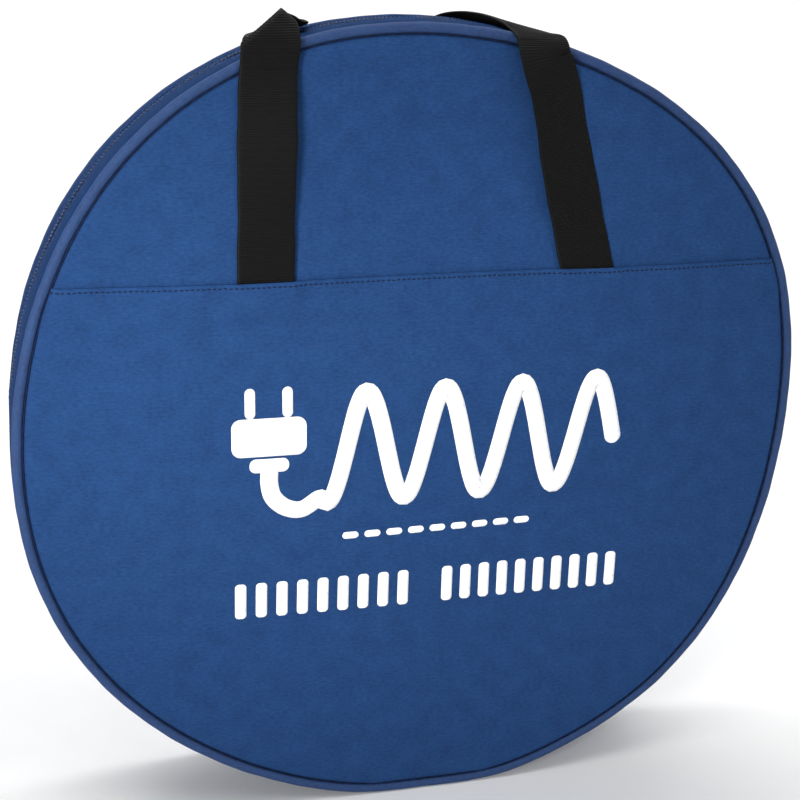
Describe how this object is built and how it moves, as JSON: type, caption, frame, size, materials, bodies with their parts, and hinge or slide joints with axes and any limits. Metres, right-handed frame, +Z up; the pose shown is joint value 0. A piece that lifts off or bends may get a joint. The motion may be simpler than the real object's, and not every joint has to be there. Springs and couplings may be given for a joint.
{
  "type": "round cable carry bag",
  "caption": "Flat round zip bag for a coiled power cable, with piped rims, a lapped front seam, an opening cover and webbing carry handles.",
  "frame": {"origin": "middle of the flat patch that the bag stands on", "axes": "+Z up through the handles, +X to the right seen from the front, +Y from the front panel to the rear panel"},
  "size_m": [0.4012, 0.106, 0.402],
  "materials": {
    "canvas": "coated woven polyester, dull sheen",
    "piping": "bias cut canvas over a cord",
    "cord_core": "twisted cotton piping cord",
    "binding": "ribbed binding tape",
    "zip_tape": "herringbone zip tape",
    "zip_coil": "nylon coil",
    "zip_metal": "black lacquered zinc",
    "webbing": "ribbed polypropylene webbing"
  },
  "bodies": {
    "bag": {"rear_upper_panel": "canvas", "rear_lower_panel": "canvas", "rear_piping_cover": "piping", "rear_piping_cord": "cord_core", "rear_seam_binding": "binding", "rear_gusset_strip": "canvas", "base_gusset": "canvas", "rear_zip_tape": "zip_tape", "rear_zip_coil": "zip_coil", "front_zip_tape_ends": "zip_tape", "front_zip_coil_ends": "zip_coil", "zip_end_stops": "zip_metal", "front_panel_foot": "canvas", "front_piping_cover_foot": "piping", "front_piping_cord_foot": "cord_core", "front_seam_binding_foot": "binding", "rear_handle_tails": "webbing"},
    "cover": {"front_upper_panel": "canvas", "front_lower_panel": "canvas", "front_piping_cover": "piping", "front_piping_cord": "cord_core", "front_seam_binding": "binding", "front_gusset_strip": "canvas", "front_zip_tape": "zip_tape", "front_zip_coil": "zip_coil", "front_handle_tails": "webbing"},
    "front_handle_fold": {"front_handle_bridge": "webbing"},
    "front_handle_end": {"front_handle_loop": "webbing"},
    "rear_handle": {"rear_handle_loop": "webbing"},
    "zip_slider": {"zip_slider_body": "zip_metal"},
    "zip_pull": {"zip_pull_tab": "zip_metal"}
  },
  "joints": [
    {"name": "cover_open", "type": "hinge", "parent": "bag", "child": "cover", "pos_m": [0, -0.035, 0.06844], "axis": [1, 0, 0], "range_deg": [0, 95], "deforming": ["front_handle_bridge", "front_handle_loop"]},
    {"name": "zip_travel", "type": "hinge", "parent": "bag", "child": "zip_slider", "pos_m": [0, 0, 0.197], "axis": [0, -1, 0], "range_deg": [0, 270]},
    {"name": "zip_pull_flip", "type": "hinge", "parent": "zip_slider", "child": "zip_pull", "pos_m": [0.14368, 0, 0.05332], "axis": [0, 1, 0], "range_deg": [-170, 0]},
    {"name": "front_handle_lift", "type": "hinge", "parent": "cover", "child": "front_handle_fold", "pos_m": [0, -0.0358, 0.4], "axis": [1, 0, 0], "range_deg": [0, 90]},
    {"name": "front_handle_straighten", "type": "hinge", "parent": "front_handle_fold", "child": "front_handle_end", "pos_m": [0, 0.0414, 0.4012], "axis": [1, 0, 0], "range_deg": [0, 90]},
    {"name": "rear_handle_lift", "type": "hinge", "parent": "bag", "child": "rear_handle", "pos_m": [0, 0.0374, 0.3472], "axis": [1, 0, 0], "range_deg": [0, 180]}
  ],
  "couplings": [
    {"joint": "front_handle_straighten", "follows": "front_handle_lift", "ratio": 1},
    {"joint": "rear_handle_lift", "follows": "front_handle_lift", "ratio": 2}
  ]
}
